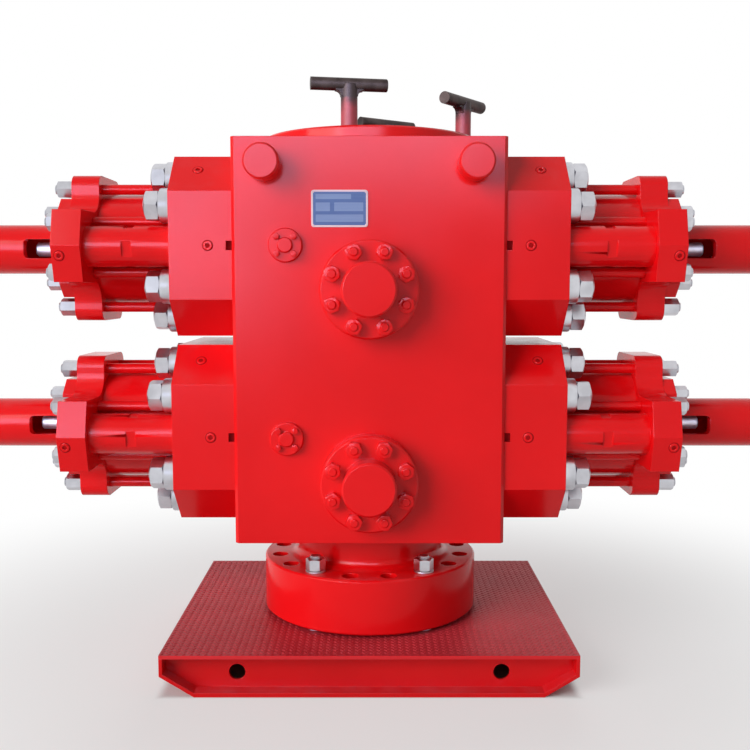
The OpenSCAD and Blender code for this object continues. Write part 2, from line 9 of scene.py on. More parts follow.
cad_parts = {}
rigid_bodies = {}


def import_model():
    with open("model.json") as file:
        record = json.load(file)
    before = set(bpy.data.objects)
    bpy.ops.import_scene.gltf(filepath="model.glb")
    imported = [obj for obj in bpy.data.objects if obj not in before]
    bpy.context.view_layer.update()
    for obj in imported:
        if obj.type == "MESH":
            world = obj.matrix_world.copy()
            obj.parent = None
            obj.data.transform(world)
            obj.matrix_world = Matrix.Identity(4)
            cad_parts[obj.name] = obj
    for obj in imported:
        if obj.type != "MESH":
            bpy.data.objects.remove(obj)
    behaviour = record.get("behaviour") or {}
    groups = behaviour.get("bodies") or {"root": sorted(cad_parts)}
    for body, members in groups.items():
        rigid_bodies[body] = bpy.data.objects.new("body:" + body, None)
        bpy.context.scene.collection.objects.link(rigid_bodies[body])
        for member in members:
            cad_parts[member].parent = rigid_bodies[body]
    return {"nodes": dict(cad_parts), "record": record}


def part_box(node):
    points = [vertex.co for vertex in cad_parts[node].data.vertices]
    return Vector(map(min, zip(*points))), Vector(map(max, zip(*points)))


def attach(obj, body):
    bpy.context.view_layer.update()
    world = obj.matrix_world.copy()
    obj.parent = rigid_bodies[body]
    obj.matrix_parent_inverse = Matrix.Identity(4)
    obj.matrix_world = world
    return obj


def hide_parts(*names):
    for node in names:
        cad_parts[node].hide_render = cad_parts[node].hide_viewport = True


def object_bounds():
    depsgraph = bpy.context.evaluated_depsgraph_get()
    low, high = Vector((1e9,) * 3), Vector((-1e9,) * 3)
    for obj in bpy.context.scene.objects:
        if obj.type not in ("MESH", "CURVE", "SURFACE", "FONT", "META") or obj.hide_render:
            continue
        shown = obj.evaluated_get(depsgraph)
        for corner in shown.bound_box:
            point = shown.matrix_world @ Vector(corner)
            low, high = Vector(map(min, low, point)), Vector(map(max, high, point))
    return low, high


# Named sizes are in mm and angles in degrees; places of the camera, lamps and floor are in m.
MM = 0.001
UP = Vector((0, 0, 1))
FRONT = Vector((0, -1, 0))
REAR = Vector((0, 1, 0))
LEFT = Vector((-1, 0, 0))
RIGHT = Vector((1, 0, 0))

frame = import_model()
cad_low, cad_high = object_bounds()
nodes = frame["nodes"]


# Selection and finishing

MERGE_GAP = 0.01
SMOOTH_ANGLE = 35
# A face whose normal has this share along an axis faces that way.
FACING_SHARE = 0.9


def clear_selection():
    """Leaves edit mode and deselects every object."""
    if bpy.context.object and bpy.context.object.mode != "OBJECT":
        bpy.ops.object.mode_set(mode="OBJECT")
    bpy.ops.object.select_all(action="DESELECT")


def select_only(pieces):
    """Selects just these objects, the first one active."""
    clear_selection()
    for piece in pieces:
        piece.select_set(True)
    bpy.context.view_layer.objects.active = pieces[0]


def select_faces(piece, wanted):
    """In edit mode, selects the faces whose normal passes the test."""
    mesh = bmesh.from_edit_mesh(piece.data)
    bpy.ops.mesh.select_mode(type="FACE")
    bpy.ops.mesh.select_all(action="DESELECT")
    for face in mesh.faces:
        if wanted(face.normal):
            face.select_set(True)
    bmesh.update_edit_mesh(piece.data)


def select_edges(piece, wanted):
    """In edit mode, selects the edges whose two end points pass the test."""
    mesh = bmesh.from_edit_mesh(piece.data)
    bpy.ops.mesh.select_mode(type="EDGE")
    bpy.ops.mesh.select_all(action="DESELECT")
    for edge in mesh.edges:
        if wanted(edge.verts[0].co, edge.verts[1].co):
            edge.select_set(True)
    bmesh.update_edit_mesh(piece.data)


def edit_merged(piece):
    """Goes into edit mode with all of a piece selected, and merges the corners that lie together."""
    select_only([piece])
    bpy.ops.object.mode_set(mode="EDIT")
    bpy.ops.mesh.select_all(action="SELECT")
    bpy.ops.mesh.remove_doubles(threshold=MERGE_GAP * MM)


def apply_place(*pieces):
    """Puts each object's place, turn and scale into its mesh."""
    select_only(pieces)
    bpy.ops.object.transform_apply(location=True, rotation=True, scale=True)


def apply_modifiers(piece):
    """Applies a piece's modifiers from the first to the last."""
    select_only([piece])
    for modifier in list(piece.modifiers):
        bpy.ops.object.modifier_apply(modifier=modifier.name)


def join(name, pieces):
    """Joins pieces into the first one."""
    select_only(pieces)
    if len(pieces) > 1:
        bpy.ops.object.join()
    piece = bpy.context.object
    piece.name = name
    piece.data.name = name
    return piece


def place(point, axis, flat):
    """Place of a piece modelled along +Z: its foot, the way it stands and where its own X points."""
    side = axis.cross(flat)
    turn = Matrix((flat, side, axis)).transposed().to_4x4()
    return Matrix.Translation(point) @ turn


def copies(name, model, places):
    """Copies a piece modelled at the origin to each place, joins the copies and removes the model."""
    made = []
    for spot in places:
        copy = model.copy()
        copy.data = model.data.copy()
        bpy.context.scene.collection.objects.link(copy)
        copy.matrix_world = spot
        made.append(copy)
    apply_place(*made)
    bpy.data.objects.remove(model)
    return join(name, made)


def finish_piece(piece, finish, stands_for=(), smooth_angle=SMOOTH_ANGLE):
    """Shades a piece, gives it its finish and rides it on the preventer."""
    select_only([piece])
    bpy.ops.object.shade_smooth_by_angle(angle=math.radians(smooth_angle))
    piece.data.materials.clear()
    piece.data.materials.append(finishes[finish])
    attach(piece, "root")
    if stands_for:
        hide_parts(*stands_for)
    return piece


def loose_copies(node):
    """A copy of each separate solid of a CAD node."""
    copy = nodes[node].copy()
    copy.data = nodes[node].data.copy()
    copy.hide_viewport = False
    bpy.context.scene.collection.objects.link(copy)
    copy.hide_set(False)
    edit_merged(copy)
    bpy.ops.mesh.separate(type="LOOSE")
    bpy.ops.object.mode_set(mode="OBJECT")
    return list(bpy.context.selected_objects)


def corners(part):
    """Lowest and highest corners of a piece."""
    points = [vertex.co for vertex in part.data.vertices]
    low = Vector(min(p[axis] for p in points) for axis in range(3))
    high = Vector(max(p[axis] for p in points) for axis in range(3))
    return low, high


def solids(node):
    """Lowest and highest corners of each separate solid of a CAD node."""
    found = []
    for part in loose_copies(node):
        found.append(corners(part))
        bpy.data.objects.remove(part)
    return found


# Turned, hexagonal and flat pieces

TURNED_SEGMENTS = 48
SMALL_SEGMENTS = 32
HEX_SIDES = 6
NUT_RIM_SEGMENTS = 60
NUT_RIM_ANGLE = 30
NUT_RIM_SHARE = 0.96
NUT_CORNER_CLEAR = 0.2
THREAD_DEPTH_SHARE = 0.6
PLATE_CORNER_SEGMENTS = 5


def turned(name, profile, segments=TURNED_SEGMENTS):
    """A turned piece along +Z: (radius, height) pairs in mm from its foot to its tip, by extruding and
    scaling its top."""
    (foot_r, foot_z), (next_r, next_z) = profile[:2]
    clear_selection()
    bpy.ops.mesh.primitive_cylinder_add(
        vertices=segments, radius=foot_r * MM, depth=(next_z - foot_z) * MM,
        location=(0, 0, (foot_z + next_z) / 2 * MM))
    piece = bpy.context.object
    piece.name = name
    apply_place(piece)
    bpy.ops.object.mode_set(mode="EDIT")
    select_faces(piece, lambda normal: normal.z > FACING_SHARE)
    bpy.ops.transform.resize(value=(next_r / foot_r, next_r / foot_r, 1))
    for (r0, z0), (r1, z1) in zip(profile[1:], profile[2:]):
        bpy.ops.mesh.extrude_region_move(TRANSFORM_OT_translate={"value": (0, 0, (z1 - z0) * MM)})
        bpy.ops.transform.resize(value=(r1 / r0, r1 / r0, 1))
    bpy.ops.object.mode_set(mode="OBJECT")
    return piece


def cut(piece, tool, operation):
    """Applies a Boolean with the tool, removes the tool and merges what the cut leaves doubled."""
    modifier = piece.modifiers.new("cut", "BOOLEAN")
    modifier.operation = operation
    modifier.solver = "EXACT"
    modifier.object = tool
    apply_modifiers(piece)
    bpy.data.objects.remove(tool)
    edit_merged(piece)
    bpy.ops.object.mode_set(mode="OBJECT")
    return piece


def hex_prism(name, flats, low, high):
    """Hexagon along +Z with flats facing its own X, sizes in mm."""
    clear_selection()
    bpy.ops.mesh.primitive_cylinder_add(
        vertices=HEX_SIDES, radius=flats / math.sqrt(3) * MM, depth=(high - low) * MM,
        location=(0, 0, (low + high) / 2 * MM))
    piece = bpy.context.object
    piece.name = name
    apply_place(piece)
    return piece


def hex_nut(name, flats, low, high, rim_share=NUT_RIM_SHARE):
    """Hexagon nut with both rims turned off, down to this share of its flats, sizes in mm."""
    corner_r = flats / math.sqrt(3) + NUT_CORNER_CLEAR
    rim_r = flats / 2 * rim_share
    rim = (corner_r - rim_r) * math.tan(math.radians(NUT_RIM_ANGLE))
    blank = turned(name + "_rims", [
        (rim_r, low), (corner_r, low + rim), (corner_r, high - rim), (rim_r, high)], NUT_RIM_SEGMENTS)
    return cut(hex_prism(name, flats, low, high), blank, "INTERSECT")


def threaded_tip(name, diameter, pitch, low, high):
    """End of a stud, sizes in mm: thread crests and roots, then a chamfered point."""
    major = diameter / 2
    root = major - THREAD_DEPTH_SHARE * pitch
    point = pitch / 3
    profile = [(root, low)]
    z = low
    while z + pitch < high - pitch / 2:
        profile.append((major, z + pitch / 2))
        profile.append((root, z + pitch))
        z += pitch
    profile.append((root, high - point))
    profile.append((root - point, high))
    return turned(name, profile, SMALL_SEGMENTS)


def rounded_plate(name, low, high, corner_r):
    """Upright plate between two corners in m, with its own four corners rounded by a radius in mm."""
    clear_selection()
    size = high - low
    bpy.ops.mesh.primitive_cube_add(size=1, location=(low + high) / 2)
    piece = bpy.context.object
    piece.name = name
    piece.scale = size
    apply_place(piece)
    bpy.ops.object.mode_set(mode="EDIT")
    select_edges(piece, lambda a, b: abs(a.y - b.y) > size.y / 2)
    bpy.ops.mesh.bevel(offset=corner_r * MM, segments=PLATE_CORNER_SEGMENTS, affect="EDGES")
    bpy.ops.object.mode_set(mode="OBJECT")
    return piece


# Colours and materials

OVERSPRAY_BELOW_TOP = 72
OVERSPRAY_FADE = 40
OVERSPRAY_DRIFT = 40


def linear(hex_colour):
    """sRGB hex colour as the linear colour that sockets take."""
    values = [int(hex_colour[i:i + 2], 16) / 255 for i in (1, 3, 5)]
    return [v / 12.92 if v <= 0.04045 else ((v + 0.055) / 1.055) ** 2.4 for v in values] + [1.0]


def set_inputs(node, **inputs):
    """Sets inputs by socket name, or by number as _0, _1, to values or to sockets that are linked."""
    for key, value in inputs.items():
        socket = node.inputs[int(key[1:])] if key[1:].isdigit() else node.inputs[key.replace("_", " ")]
        if isinstance(value, bpy.types.NodeSocket):
            node.id_data.links.new(value, socket)
        else:
            socket.default_value = value


def add_node(tree, kind, settings=None, **inputs):
    """Adds a node with its own settings and its inputs."""
    node = tree.nodes.new(kind)
    for key, value in (settings or {}).items():
        setattr(node, key, value)
    set_inputs(node, **inputs)
    return node


def new_material(name):
    """Empty material: its tree, its Principled shader and its Object coordinates."""
    material = bpy.data.materials.new(name)
    material.use_nodes = True
    tree = material.node_tree
    shader = tree.nodes["Principled BSDF"]
    where = add_node(tree, "ShaderNodeTexCoord").outputs["Object"]
    return material, tree, shader, where


def per_mm(size):
    """Texture scale at which one feature of a noise is about this many mm."""
    return 1 / (size * MM)


def mottled(tree, where, scale, detail, colours, spread=(0, 1)):
    """A cloudy noise, and the colour that drifts with it from dark to light."""
    cloud = add_node(tree, "ShaderNodeTexNoise", Vector=where, Scale=scale, Detail=detail)
    shade = add_node(tree, "ShaderNodeValToRGB", Fac=cloud.outputs["Fac"])
    for element, colour, position in zip(shade.color_ramp.elements, colours, spread):
        element.position = position
        element.color = linear(colour)
    return cloud.outputs["Fac"], shade.outputs["Color"]


def red_enamel(name, dark, light):
    """Glossy alkyd enamel sprayed on cast and machined steel: a deep clean red with a little
    orange peel, uneven gloss, a film of dust on what faces up, and edges drawn a brighter red as a painted
    highlight."""
    material, tree, shader, where = new_material(name)
    _, red = mottled(tree, where, per_mm(320), 3.0, (dark, light), (0.3, 0.7))
    rounded = add_node(tree, "ShaderNodeBevel", {"samples": 6}, Radius=2.5 * MM)
    faces = add_node(tree, "ShaderNodeNewGeometry")
    # Painted highlight: the edges, found by the bevel, are drawn a brighter red.
    edge = add_node(tree, "ShaderNodeVectorMath", {"operation": "DOT_PRODUCT"},
                    _0=rounded.outputs["Normal"], _1=faces.outputs["Normal"])
    painted_edge_highlight = add_node(tree, "ShaderNodeMapRange", Value=edge.outputs["Value"],
                    From_Min=0.99, From_Max=0.8, To_Max=0.2)
    bright = add_node(tree, "ShaderNodeMix", {"data_type": "RGBA"}, Factor=painted_edge_highlight.outputs["Result"],
                      A=red, B=linear("#F4322E"))
    split = add_node(tree, "ShaderNodeSeparateXYZ", Vector=faces.outputs["Normal"])
    grime = add_node(tree, "ShaderNodeTexNoise", Vector=where, Scale=per_mm(70), Detail=6.0)
    upward = add_node(tree, "ShaderNodeMath", {"operation": "MULTIPLY"},
                      _0=split.outputs["Z"], _1=grime.outputs["Fac"])
    dust = add_node(tree, "ShaderNodeMapRange", Value=upward.outputs["Value"],
                    From_Min=0.35, From_Max=0.8, To_Max=0.16)
    dusty = add_node(tree, "ShaderNodeMix", {"data_type": "RGBA"}, Factor=dust.outputs["Result"],
                     A=bright.outputs["Result"], B=linear("#A8747A"))
    gloss = add_node(tree, "ShaderNodeTexNoise", Vector=where, Scale=per_mm(110), Detail=4.0)
    rough = add_node(tree, "ShaderNodeMapRange", Value=gloss.outputs["Fac"], To_Min=0.12, To_Max=0.24)
    # Orange peel is about 2 mm across; it is drawn at 9 mm to show in the render.
    peel = add_node(tree, "ShaderNodeTexNoise", Vector=where, Scale=per_mm(9), Detail=2.0)
    bump = add_node(tree, "ShaderNodeBump", Strength=0.025, Distance=0.6 * MM,
                    Height=peel.outputs["Fac"], Normal=rounded.outputs["Normal"])
    set_inputs(shader, Base_Color=dusty.outputs["Result"], Roughness=rough.outputs["Result"],
               Normal=bump.outputs["Normal"], IOR=1.5, Specular_IOR_Level=0.18)
    return material


def deck_paint():
    """The same enamel walked dull on chequered plate: a darker red whose worn film mirrors the sky
    at a low angle, so that it looks dusty."""
    material, tree, shader, where = new_material("deck_paint")
    _, walked = mottled(tree, where, per_mm(260), 5.0, ("#9C1C26", "#B42A35"), (0.3, 0.7))
    faces = add_node(tree, "ShaderNodeNewGeometry")
    split = add_node(tree, "ShaderNodeSeparateXYZ", Vector=faces.outputs["True Normal"])
    trodden = add_node(tree, "ShaderNodeMapRange", Value=split.outputs["Z"], From_Min=0.1, From_Max=0.4)
    colour = add_node(tree, "ShaderNodeMix", {"data_type": "RGBA"}, Factor=trodden.outputs["Result"],
                      A=linear("#CC1218"), B=walked)
    scuff = add_node(tree, "ShaderNodeTexNoise", Vector=where, Scale=per_mm(18), Detail=6.0)
    rough = add_node(tree, "ShaderNodeMapRange", Value=scuff.outputs["Fac"], To_Min=0.34, To_Max=0.56)
    bump = add_node(tree, "ShaderNodeBump", Strength=0.15, Distance=0.4 * MM, Height=scuff.outputs["Fac"])
    set_inputs(shader, Base_Color=colour.outputs["Result"], Roughness=rough.outputs["Result"],
               Normal=bump.outputs["Normal"], Specular_IOR_Level=0.32)
    return material


def painted_shade_enamel(name, dark, light):
    """Painted shade: the enamel drawn as a dull maroon, mottled darker and lighter, for slot floors and the
    gaps round plugs.
    """
    material, tree, shader, where = new_material(name)
    shade_mottle, maroon = mottled(tree, where, per_mm(7), 4.0, (dark, light))
    rough = add_node(tree, "ShaderNodeMapRange", Value=shade_mottle, To_Min=0.6, To_Max=0.8)
    set_inputs(shader, Base_Color=maroon, Roughness=rough.outputs["Result"], Specular_IOR_Level=0.05)
    return material


def plated_metal(name, dark, light, rough_low, rough_high, grain):
    """A metal whose colour and gloss drift with a fine grain of this many mm."""
    material, tree, shader, where = new_material(name)
    cloud, grey = mottled(tree, where, per_mm(grain), 6.0, (dark, light), (0.32, 0.68))
    rough = add_node(tree, "ShaderNodeMapRange", Value=cloud, To_Min=rough_low, To_Max=rough_high)
    rounded = add_node(tree, "ShaderNodeBevel", {"samples": 4}, Radius=1.2 * MM)
    bump = add_node(tree, "ShaderNodeBump", Strength=0.1, Distance=0.3 * MM, Height=cloud,
                    Normal=rounded.outputs["Normal"])
    set_inputs(shader, Base_Color=grey, Roughness=rough.outputs["Result"],
               Normal=bump.outputs["Normal"], Metallic=1.0)
    return material


def zinc_plate():
    """Bright zinc plating on forged nuts: pale silver, softly mirrored, with faint cloudy patches."""
    return plated_metal("zinc_plate", "#BDBDC3", "#D4D4DA", 0.26, 0.38, 45)


def ground_rod():
    """Ground and chromed steel, as on a ram's tail rod: pale and satin."""
    return plated_metal("ground_rod", "#D0CCCF", "#E2DEE1", 0.5, 0.6, 18)


def machined_steel():
    """Ground and oiled steel: mid grey with a soft shine."""
    return plated_metal("machined_steel", "#8D8A8B", "#B0ADAE", 0.36, 0.5, 18)


def dark_steel():
    """Bare hot-rolled bar, handled and oily: brown-black mill scale rubbed brighter in places."""
    return plated_metal("dark_steel", "#3A3130", "#544846", 0.44, 0.58, 34)


def oversprayed_steel():
    """Tee stems of bare bar whose feet were caught by the red spray, fading out up the stem."""
    material, tree, shader, where = new_material("oversprayed_steel")
    drift = add_node(tree, "ShaderNodeTexNoise", Vector=where, Scale=per_mm(30), Detail=4.0)
    height = add_node(tree, "ShaderNodeSeparateXYZ", Vector=where)
    level = add_node(tree, "ShaderNodeMath", {"operation": "MULTIPLY_ADD"},
                     _0=drift.outputs["Fac"], _1=OVERSPRAY_DRIFT * MM, _2=height.outputs["Z"])
    foot = cad_high.z - OVERSPRAY_BELOW_TOP * MM
    bare = add_node(tree, "ShaderNodeMapRange", Value=level.outputs["Value"],
                    From_Min=foot, From_Max=foot + OVERSPRAY_FADE * MM)
    colour = add_node(tree, "ShaderNodeMix", {"data_type": "RGBA"}, Factor=bare.outputs["Result"],
                      A=linear("#A83A45"), B=linear("#44393A"))
    rough = add_node(tree, "ShaderNodeMapRange", Value=drift.outputs["Fac"], To_Min=0.4, To_Max=0.6)
    metal = add_node(tree, "ShaderNodeMath", {"operation": "MULTIPLY"}, _0=bare.outputs["Result"], _1=0.8)
    rounded = add_node(tree, "ShaderNodeBevel", {"samples": 4}, Radius=4 * MM)
    set_inputs(shader, Base_Color=colour.outputs["Result"], Roughness=rough.outputs["Result"],
               Metallic=metal.outputs["Value"], Normal=rounded.outputs["Normal"])
    return material


def enamelled_sheet(name, dark, light):
    """Stoved enamel on aluminium sheet: satin, with faint streaks from rolling."""
    material, tree, shader, where = new_material(name)
    streaks = add_node(tree, "ShaderNodeMapping", Vector=where, Scale=(per_mm(90), per_mm(90), per_mm(4)))
    cloud, colour = mottled(tree, streaks.outputs["Vector"], 1.0, 3.0, (dark, light))
    rough = add_node(tree, "ShaderNodeMapRange", Value=cloud, To_Min=0.34, To_Max=0.46)
    set_inputs(shader, Base_Color=colour, Roughness=rough.outputs["Result"], Specular_IOR_Level=0.15)
    return material


def blue_plate():
    """Field of the data plate: a greyish blue enamel."""
    return enamelled_sheet("blue_plate", "#465C92", "#586EA0")


def blank_boxes():
    """Boxes of the data plate, left blank: a paler enamel printed over the blue."""
    return enamelled_sheet("blank_boxes", "#6C80AE", "#7E90B8")


def plate_edge():
    """Lacquered rim of the data plate, tinted by red overspray: a pale pinkish grey."""
    return enamelled_sheet("plate_edge", "#D6B9C3", "#E8D3DA")


def black_rubber():
    """Moulded nitrile rubber: near black, matt, faintly mottled."""
    material, tree, shader, where = new_material("black_rubber")
    _, black = mottled(tree, where, per_mm(14), 4.0, ("#141414", "#2A2929"))
    set_inputs(shader, Base_Color=black, Roughness=0.72)
    return material


finishes = {
    "red_enamel": red_enamel("red_enamel", "#DA0A10", "#E50F15"),
    # The skid's copy of the red enamel is drawn darker.
    "skid_enamel": red_enamel("skid_enamel", "#C5090E", "#D00D12"),
    "deck_paint": deck_paint(),
    # Painted shade: dull maroons for the pry slots' floors and the gaps round the plugs.
    "painted_slot_shade": painted_shade_enamel("painted_slot_shade", "#820305", "#980508"),
    "painted_plug_shade": painted_shade_enamel("painted_plug_shade", "#90080C", "#B00C10"),
    "zinc_plate": zinc_plate(),
    "machined_steel": machined_steel(),
    "ground_rod": ground_rod(),
    "dark_steel": dark_steel(),
    "oversprayed_steel": oversprayed_steel(),
    "blue_plate": blue_plate(),
    "blank_boxes": blank_boxes(),
    "plate_edge": plate_edge(),
    "black_rubber": black_rubber(),
}

# Nodes whose finish is another coat or grade than their slot's; the skid's is the same red enamel drawn
# darker.
OWN_FINISHES = {
    "lifting_tees": "oversprayed_steel",
    "tail_rods": "ground_rod",
    "skid_front_channel": "skid_enamel",
    "skid_rear_channel": "skid_enamel",
    "skid_left_end": "skid_enamel",
    "skid_right_end": "skid_enamel",
    "skid_beams": "skid_enamel",
}


def dress_cad_nodes():
    """Gives each CAD node its own finish, or that of its slot in the record."""
    for entry in frame["record"]["subparts"]:
        name = entry["node"]
        materials = nodes[name].data.materials
        materials.clear()
        materials.append(finishes[OWN_FINISHES.get(name, entry["material_slot"])])


# Camera, light and stage

CAMERA_PLACE = (0.0155, -2.931, 1.118)
CAMERA_TILT = 84.56
CAMERA_LENS = 45.54
CAMERA_SENSOR = 36.0
BODY_MIDDLE = (0, 0, 0.8)
CARD_COLOUR = "#CBD9FF"
CARD_SOFT_EDGE = 0.3
AMBIENCE = 0.26
FLOOR_SIZE = 60
FLOOR_FADE_FROM = 0.75
FLOOR_FADE_TO = 2.4
FLOOR_NEAR_WHITE = 0.45
SKID_EDGE_BAND = 0.03


def make_camera():
    """Camera a little below the upper rams' level, tilted a little down."""
    camera = bpy.data.cameras.new("camera")
    camera.lens = CAMERA_LENS
    camera.sensor_width = CAMERA_SENSOR
    holder = bpy.data.objects.new("camera", camera)
    holder.location = CAMERA_PLACE
    holder.rotation_euler = (math.radians(CAMERA_TILT), 0, 0)
    bpy.context.scene.collection.objects.link(holder)
    bpy.context.scene.camera = holder


def area_light(name, at, toward, size, power, colour="#FFFFFF"):
    """A flat rectangular lamp at one point, facing another."""
    light = bpy.data.lights.new(name, "AREA")
    light.shape = "RECTANGLE"
    light.size, light.size_y = size
    light.energy = power
    light.color = linear(colour)[:3]
    holder = bpy.data.objects.new(name, light)
    holder.location = at
    holder.rotation_euler = (Vector(toward) - Vector(at)).to_track_quat("-Z", "Y").to_euler()
    bpy.context.scene.collection.objects.link(holder)
    return holder


def reflector_card(name, at, size, power):
    """A softly edged bright card, upright behind the camera, that shows only in reflections."""
    card = area_light(name, at, (at[0], 0, at[2]), size, power, CARD_COLOUR)
    card.visible_diffuse = False
    card.data.use_nodes = True
    tree = card.data.node_tree
    spot = add_node(tree, "ShaderNodeNewGeometry").outputs["Parametric"]
    across = add_node(tree, "ShaderNodeSeparateXYZ", Vector=spot)
    edges = []
    for way in ("X", "Y"):
        inward = add_node(tree, "ShaderNodeMath", {"operation": "PINGPONG"}, _0=across.outputs[way], _1=0.5)
        edge = add_node(tree, "ShaderNodeMapRange", {"interpolation_type": "SMOOTHSTEP"},
                        Value=inward.outputs["Value"], From_Max=CARD_SOFT_EDGE)
        edges.append(edge.outputs["Result"])
    glow = add_node(tree, "ShaderNodeMath", {"operation": "MULTIPLY"}, _0=edges[0], _1=edges[1])
    set_inputs(tree.nodes["Emission"], Strength=glow.outputs["Value"])
    return card


def make_lights():
    """A fill from behind and a pale card for the bright metal; then the strong lamps, which are
    returned: a broad low key from the front left, and two broad cards that lay the pale
    highlights on the enamel."""
    rear_fill = area_light("rear_fill", (1.2, 6.4, 2.6), BODY_MIDDLE, (4.0, 3.0), 190)
    rear_fill.visible_glossy = False
    reflector_card("pale_card", (-4.9, -7.8, 2.6), (8.0, 5.0), 90)
    return [
        area_light("key", (-12.5, -11.4, 6.96), BODY_MIDDLE, (12.8, 12.0), 3500),
        reflector_card("left_card", (-3.0, -7.0, 2.3), (5.6, 4.4), 900),
        reflector_card("high_card", (0.2, -7.4, 3.2), (4.2, 2.8), 470),
    ]


def keep_off_bare_metal(lamps, pieces):
    """Flags strong lamps off the bright metal, which would mirror them as blank white."""
    flagged = bpy.data.collections.new("bare_metal")
    for piece in pieces:
        flagged.objects.link(piece)
    for entry in flagged.collection_objects:
        entry.light_linking.link_state = "EXCLUDE"
    for lamp in lamps:
        lamp.light_linking.receiver_collection = flagged


def studio_rays(tree):
    """1 on camera, glossy and transmission rays, which see the plain white studio."""
    rays = add_node(tree, "ShaderNodeLightPath")
    total = add_node(tree, "ShaderNodeMath", {"operation": "ADD"},
                     _0=rays.outputs["Is Camera Ray"], _1=rays.outputs["Is Glossy Ray"])
    return add_node(tree, "ShaderNodeMath", {"operation": "ADD", "use_clamp": True},
                    _0=total.outputs["Value"], _1=rays.outputs["Is Transmission Ray"]).outputs["Value"]


def make_world():
    """White studio to look at, with a low even light on the object."""
    world = bpy.data.worlds.new("studio")
    world.use_nodes = True
    bpy.context.scene.world = world
    tree = world.node_tree
    tree.nodes.clear()
    white = add_node(tree, "ShaderNodeBackground", Color=linear("#FFFFFF"), Strength=1.0)
    ambience = add_node(tree, "ShaderNodeBackground", Color=linear("#FFFFFF"), Strength=AMBIENCE)
    mix = add_node(tree, "ShaderNodeMixShader", Fac=studio_rays(tree),
                   _1=ambience.outputs["Background"], _2=white.outputs["Background"])
    add_node(tree, "ShaderNodeOutputWorld", Surface=mix.outputs["Shader"])


def make_floor():
    """Pale matt floor that keeps the shadow under and near the skid and runs out to white."""
    clear_selection()
    bpy.ops.mesh.primitive_plane_add(size=FLOOR_SIZE)
    floor = bpy.context.object
    floor.name = "floor"
    material, tree, shader, where = new_material("studio_floor")
    set_inputs(shader, Base_Color=linear("#D6D6D6"), Roughness=0.9, Specular_IOR_Level=0.0)
    distance = add_node(tree, "ShaderNodeVectorMath", {"operation": "LENGTH"}, _0=where)
    fade = add_node(tree, "ShaderNodeMapRange", {"interpolation_type": "SMOOTHSTEP"},
                    Value=distance.outputs["Value"], From_Min=FLOOR_FADE_FROM,
                    From_Max=FLOOR_FADE_TO, To_Min=FLOOR_NEAR_WHITE)
    deck_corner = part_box("skid_deck")[1]
    scaled = add_node(tree, "ShaderNodeVectorMath", {"operation": "DIVIDE"}, _0=where,
                      _1=(deck_corner.x, deck_corner.y, 1))
    mirrored = add_node(tree, "ShaderNodeVectorMath", {"operation": "ABSOLUTE"}, _0=scaled.outputs["Vector"])
    share = add_node(tree, "ShaderNodeSeparateXYZ", Vector=mirrored.outputs["Vector"])
    reach = add_node(tree, "ShaderNodeMath", {"operation": "MAXIMUM"},
                     _0=share.outputs["X"], _1=share.outputs["Y"])
    clear = add_node(tree, "ShaderNodeMapRange", {"interpolation_type": "SMOOTHSTEP"},
                     Value=reach.outputs["Value"], From_Min=1 - SKID_EDGE_BAND, From_Max=1 + SKID_EDGE_BAND)
    bright = add_node(tree, "ShaderNodeMath", {"operation": "MULTIPLY"},
                      _0=fade.outputs["Result"], _1=clear.outputs["Result"])
    seen = add_node(tree, "ShaderNodeMath", {"operation": "MULTIPLY"},
                    _0=bright.outputs["Value"], _1=studio_rays(tree))
    glow = add_node(tree, "ShaderNodeEmission", Color=linear("#FFFFFF"), Strength=1.0)
    mix = add_node(tree, "ShaderNodeMixShader", Fac=seen.outputs["Value"],
                   _1=shader.outputs["BSDF"], _2=glow.outputs["Emission"])
    set_inputs(tree.nodes["Material Output"], Surface=mix.outputs["Shader"])
    floor.data.materials.append(material)


# Fasteners

NUT_TURN_STEP = 23
TIP_SINK = 1
BONNET_NUT_FLATS = 78
BONNET_COLLAR_D = 98
BONNET_COLLAR_HEIGHT = 32
COLLAR_CHAMFER = 2
COLLAR_SHOULDER = 5
COLLAR_SHOULDER_BOW = 1.5
BONNET_STUD_D = 52
BONNET_STUD_PITCH = 4
BONNET_STUD_TIP = 5
TIE_ROD_D = 30
LOCK_STUD_D = 24
END_STUD_PITCH = 2
END_STUD_TIP = 7
OUTLET_NUT_FLATS = 41.3
OUTLET_NUT_RIM_SHARE = 1.02
OUTLET_STUD_D = 25
OUTLET_STUD_PITCH = 3
OUTLET_STUD_TIP = 8
OUTLET_STUD_SHOWS = 4
# Thickness of the solid flange without its neck.
FLANGE_THICK = 160
HOLD_BOLT_D = 33
HOLD_BOLT_PITCH = 3
HOLD_BOLT_CHAMFER = 2
HOLD_NUT_FLATS = 50
HOLD_NUT_HEIGHT = 34
HOLD_NUT_BELOW = 26
HOLD_WASHER_D = 58
HOLD_WASHER_THICK = 6
HOLD_WASHER_CHAMFER = 1


def ram_end_places(found):
    """Places of nuts that stand out from the ram ends, each stopped at its own turn when tightened."""
    places = []
    for index, (low, high) in enumerate(found):
        middle = (low + high) / 2
        right = middle.x > 0
        axis = RIGHT if right else LEFT
        foot = Vector((low.x if right else high.x, middle.y, middle.z))
        turn = Matrix.Rotation(math.radians(NUT_TURN_STEP * index % (360 / HEX_SIDES)), 3, axis)
        places.append(place(foot, axis, turn @ REAR))
    return places


